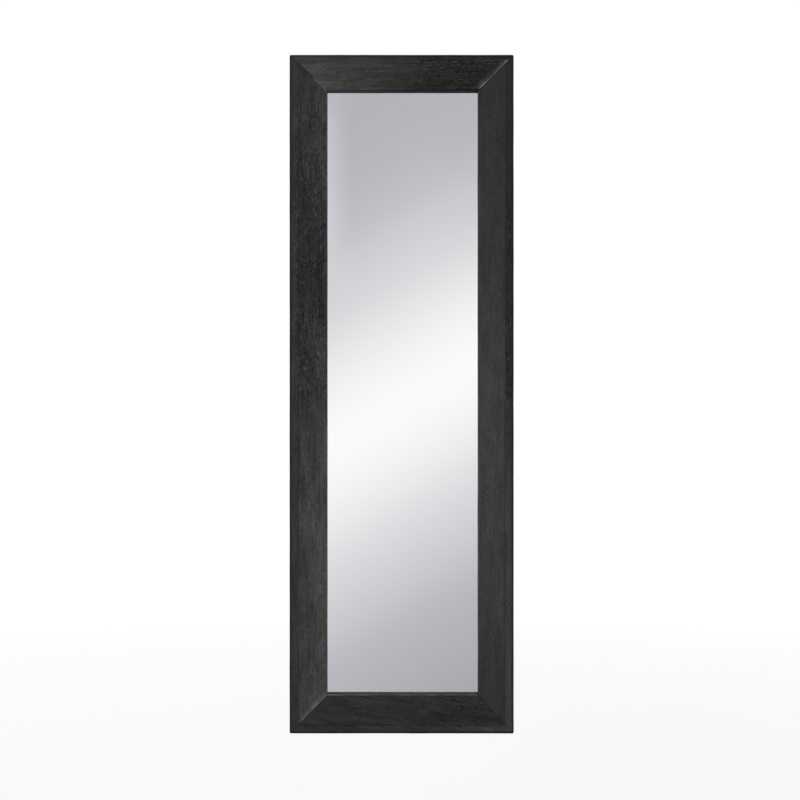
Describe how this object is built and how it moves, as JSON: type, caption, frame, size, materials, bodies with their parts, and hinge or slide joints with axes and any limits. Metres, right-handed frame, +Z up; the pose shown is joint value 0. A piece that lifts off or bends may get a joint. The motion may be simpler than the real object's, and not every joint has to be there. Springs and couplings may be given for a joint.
{
  "type": "pull-out wardrobe mirror",
  "caption": "Tall mirror in a mitred black stained wood frame, hinged to a carrier that pulls out of a wardrobe on telescopic ball slides and swings to face out.",
  "frame": {"origin": "centre of the four screw holes in the slides' cabinet members, on the face of the wardrobe's side panel", "axes": "+Z up; -Y the way the mirror faces when it is pushed in, so the panel is behind the part at Y = 0; +X the way it pulls out"},
  "size_m": [0.4, 0.0587, 1.21],
  "materials": {
    "stained_wood": "black stain on open-grained wood, matt",
    "plain_wood": "plywood, unfinished",
    "hardboard": "brown hardboard, smooth side out",
    "mirror": "silvered float glass",
    "foam": "white foam sheet",
    "block_rubber": "black rubber",
    "buffer_rubber": "dark grey rubber",
    "zinc_screws": "bright zinc plated",
    "zinc_steel": "zinc plated cold-rolled sheet",
    "bearing_steel": "polished",
    "retainer_steel": "plain strip",
    "black_plastic": "moulded, matt",
    "cap_plastic": "moulded, matt",
    "magnet": "ferrite between steel poles",
    "strike_steel": "zinc plated",
    "hinge_steel": "satin nickel plated",
    "black_steel": "black powder coat"
  },
  "bodies": {
    "panel_rails": {"lower_cabinet_member": "zinc_steel", "lower_closing_buffer": "buffer_rubber", "upper_cabinet_member": "zinc_steel", "upper_closing_buffer": "buffer_rubber"},
    "middle_rails": {"lower_middle_member": "zinc_steel", "upper_middle_member": "zinc_steel"},
    "outer_bearings": {"lower_outer_retainers": "retainer_steel", "lower_outer_balls": "bearing_steel", "upper_outer_retainers": "retainer_steel", "upper_outer_balls": "bearing_steel"},
    "inner_bearings": {"lower_inner_retainers": "retainer_steel", "lower_inner_balls": "bearing_steel", "upper_inner_retainers": "retainer_steel", "upper_inner_balls": "bearing_steel"},
    "carrier": {"lower_drawer_member": "zinc_steel", "upper_drawer_member": "zinc_steel", "leading_tube": "black_steel", "trailing_tube": "black_steel", "leading_tube_top_cap": "cap_plastic", "leading_tube_bottom_cap": "cap_plastic", "trailing_tube_top_cap": "cap_plastic", "trailing_tube_bottom_cap": "cap_plastic", "carrier_bolts": "zinc_screws", "carrier_nuts": "zinc_screws", "mirror_bumpers": "block_rubber", "lower_catch_housing": "black_plastic", "lower_catch_magnet": "magnet", "upper_catch_housing": "black_plastic", "upper_catch_magnet": "magnet", "lower_hinge_tube_leaf": "hinge_steel", "lower_hinge_pin": "hinge_steel", "middle_hinge_tube_leaf": "hinge_steel", "middle_hinge_pin": "hinge_steel", "upper_hinge_tube_leaf": "hinge_steel", "upper_hinge_pin": "hinge_steel"},
    "mirror": {"left_stile": "stained_wood", "right_stile": "stained_wood", "top_rail": "stained_wood", "bottom_rail": "stained_wood", "mitre_tongues": "plain_wood", "mirror_glass": "mirror", "foam_sheet": "foam", "backing_board": "hardboard", "setting_blocks": "block_rubber", "lower_strike_plate": "strike_steel", "upper_strike_plate": "strike_steel", "lower_hinge_mirror_leaf": "hinge_steel", "middle_hinge_mirror_leaf": "hinge_steel", "upper_hinge_mirror_leaf": "hinge_steel"}
  },
  "joints": [
    {"name": "pull_out", "type": "slide", "parent": "panel_rails", "child": "carrier", "axis": [1, 0, 0], "range_m": [0, 0.35]},
    {"name": "middle_rail_slide", "type": "slide", "parent": "panel_rails", "child": "middle_rails", "axis": [1, 0, 0], "range_m": [0, 0.175]},
    {"name": "outer_bearing_slide", "type": "slide", "parent": "panel_rails", "child": "outer_bearings", "axis": [1, 0, 0], "range_m": [0, 0.0875]},
    {"name": "inner_bearing_slide", "type": "slide", "parent": "panel_rails", "child": "inner_bearings", "axis": [1, 0, 0], "range_m": [0, 0.2625]},
    {"name": "swivel", "type": "hinge", "parent": "carrier", "child": "mirror", "pos_m": [0.1745, -0.0312, 0], "axis": [0, 0, 1], "range_deg": [0, 90]}
  ],
  "couplings": [
    {"joint": "middle_rail_slide", "follows": "pull_out", "ratio": 0.5},
    {"joint": "outer_bearing_slide", "follows": "pull_out", "ratio": 0.25},
    {"joint": "inner_bearing_slide", "follows": "pull_out", "ratio": 0.75}
  ]
}
